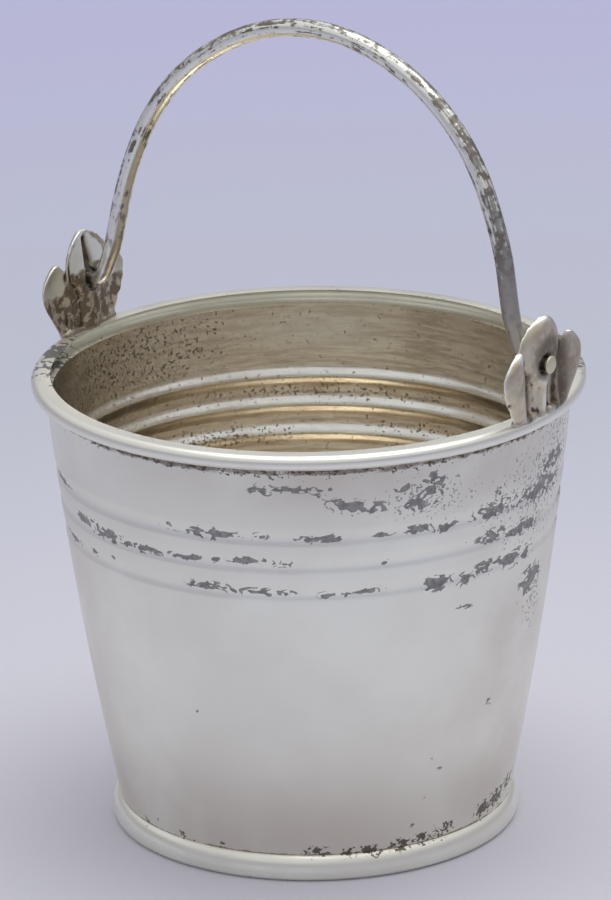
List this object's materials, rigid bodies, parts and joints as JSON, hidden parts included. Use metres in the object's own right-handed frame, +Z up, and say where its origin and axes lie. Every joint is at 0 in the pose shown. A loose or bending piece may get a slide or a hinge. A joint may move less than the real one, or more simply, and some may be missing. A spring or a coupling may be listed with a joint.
{
  "type": "cream pail",
  "caption": "Small silver cream pail: tapered sheet wall with three rolled grooves, wire rim, foot ring, two leaf-shaped ears and a swing handle.",
  "frame": {"origin": "on the table under the middle of the foot ring", "axes": "+Z up along the pail's axis, +X along the handle's pins towards the right ear, +Y away from the front"},
  "size_m": [0.0678, 0.0656, 0.0974],
  "materials": {
    "wall_silver": "satin silver with grey oxide in the grooves",
    "moulded_silver": "polished silver worn smooth on the high parts",
    "cast_silver": "cast silver, brown in the hollows",
    "wire_silver": "polished silver wire with dark pitting"
  },
  "bodies": {
    "pail": {"body_wall": "wall_silver", "base_disc": "wall_silver", "foot_ring": "moulded_silver", "rim_wire": "moulded_silver", "right_ear": "cast_silver", "left_ear": "cast_silver"},
    "handle": {"bail": "wire_silver"}
  },
  "joints": [
    {"name": "handle_swing", "type": "hinge", "parent": "pail", "child": "handle", "pos_m": [0, 0, 0.0616], "axis": [1, 0, 0], "range_deg": [-95.5, 103.5]}
  ]
}
